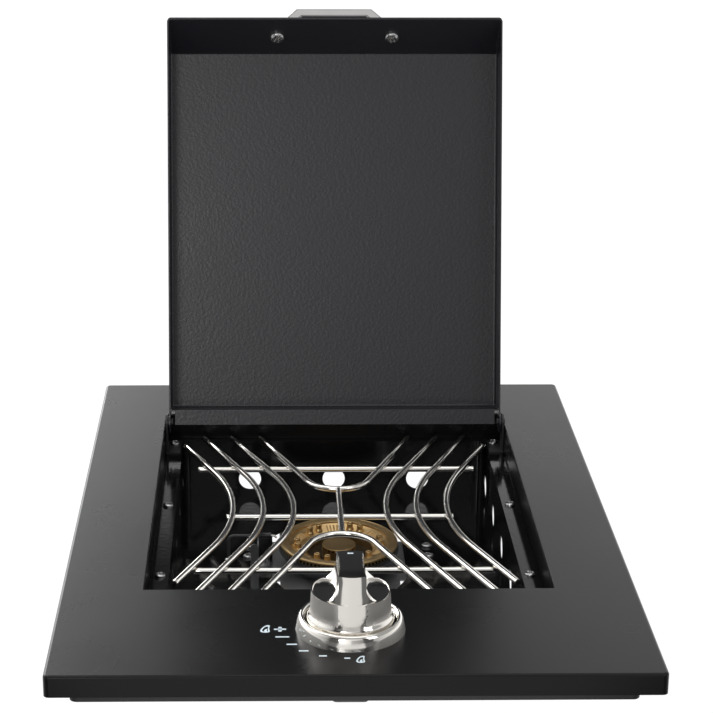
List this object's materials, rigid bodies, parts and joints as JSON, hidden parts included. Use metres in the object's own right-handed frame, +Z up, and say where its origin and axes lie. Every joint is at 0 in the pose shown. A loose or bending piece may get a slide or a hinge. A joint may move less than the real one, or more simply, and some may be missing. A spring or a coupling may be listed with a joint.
{
  "type": "built in side burner",
  "caption": "Drop-in gas side burner with a black deck plate, hinged sheet lid, wire pan grate, round brass burner and a push-and-turn knob.",
  "frame": {"origin": "middle of the worktop cut-out, at the height of the worktop's top face", "axes": "+X to the right seen from the knob's side, +Y back towards the lid's hinge, +Z up"},
  "size_m": [0.4, 0.5731, 0.4397],
  "materials": {
    "black_enamel": "satin black enamel",
    "black_frame": "black paint",
    "gloss_enamel": "gloss black enamel",
    "lid_enamel": "fine orange peel black enamel",
    "plated_screw": "plated",
    "zinc_steel": "zinc plated",
    "bracket_black": "satin",
    "cast_alloy": "as cast",
    "shutter_steel": "satin",
    "brass": "cast, heat-toned",
    "gas_pipe": "drawn tube",
    "insulator": "dark glazed ceramic",
    "electrode_wire": "drawn wire",
    "lead_sleeve": "silicone sleeve",
    "chrome": "polished",
    "spindle_steel": "turned",
    "spring_steel": "spring wire",
    "wire_steel": "satin stainless wire",
    "handle_chrome": "polished",
    "rubber": "matt"
  },
  "bodies": {
    "base": {"deck_frame": "black_enamel", "under_skirt": "black_frame", "burner_box": "gloss_enamel", "box_screws": "plated_screw", "box_nuts": "zinc_steel", "burner_carrier": "zinc_steel", "carrier_screws": "plated_screw", "burner_base": "cast_alloy", "venturi_tube": "cast_alloy", "jet_bracket": "zinc_steel", "jet_bracket_screws": "zinc_steel", "jet_holder": "brass", "gas_jet": "brass", "feed_pipe": "gas_pipe", "valve_bracket": "zinc_steel", "bezel_screws": "zinc_steel", "gas_valve_body": "cast_alloy", "valve_screws": "zinc_steel", "gas_inlet_connector": "brass", "igniter_bracket": "zinc_steel", "igniter_electrode": "insulator", "igniter_tip": "electrode_wire", "igniter_screw": "plated_screw", "igniter_lead": "lead_sleeve", "knob_bezel": "chrome", "knob_spring": "spring_steel", "hinge_bracket_right": "bracket_black", "hinge_bracket_left": "bracket_black", "lid_stop_buffers": "rubber"},
    "lid": {"lid_shell": "lid_enamel", "lid_handle": "handle_chrome", "handle_screws": "plated_screw", "hinge_pins": "zinc_steel", "hinge_washers": "zinc_steel"},
    "grate": {"grate_left_wires": "wire_steel", "grate_right_wires": "wire_steel", "grate_vee_wire": "wire_steel", "grate_arch_wire": "wire_steel", "grate_centre_bar": "wire_steel", "grate_cross_rods": "wire_steel"},
    "burner_head": {"burner_ring": "brass", "burner_nozzles": "brass", "burner_cap": "brass"},
    "push_slide": {"push_collar": "brass"},
    "knob": {"control_knob": "chrome", "knob_spindle": "spindle_steel"},
    "shutter": {"air_shutter": "shutter_steel"}
  },
  "joints": [
    {"name": "lid_hinge", "type": "hinge", "parent": "base", "child": "lid", "pos_m": [0, 0.1755, 0.018], "axis": [1, 0, 0], "range_deg": [0, 104.3]},
    {"name": "grate_lift", "type": "slide", "parent": "base", "child": "grate", "axis": [0, 0, 1], "range_m": [0, 0.008]},
    {"name": "burner_head_lift", "type": "slide", "parent": "base", "child": "burner_head", "axis": [0, 0, 1], "range_m": [0, 0.01]},
    {"name": "knob_push", "type": "slide", "parent": "base", "child": "push_slide", "axis": [0, 0, -1], "range_m": [0, 0.003], "stiffness_N_per_m": 1200, "springref_m": -0.006, "deforming": ["knob_spring"]},
    {"name": "knob_turn", "type": "hinge", "parent": "push_slide", "child": "knob", "pos_m": [-0.0015, -0.2115, 0.015], "axis": [0, 0, 1], "range_deg": [0, 190]},
    {"name": "shutter_turn", "type": "hinge", "parent": "base", "child": "shutter", "pos_m": [0, -0.086, -0.0755], "axis": [0, 1, 0], "range_deg": [-45, 45]}
  ]
}
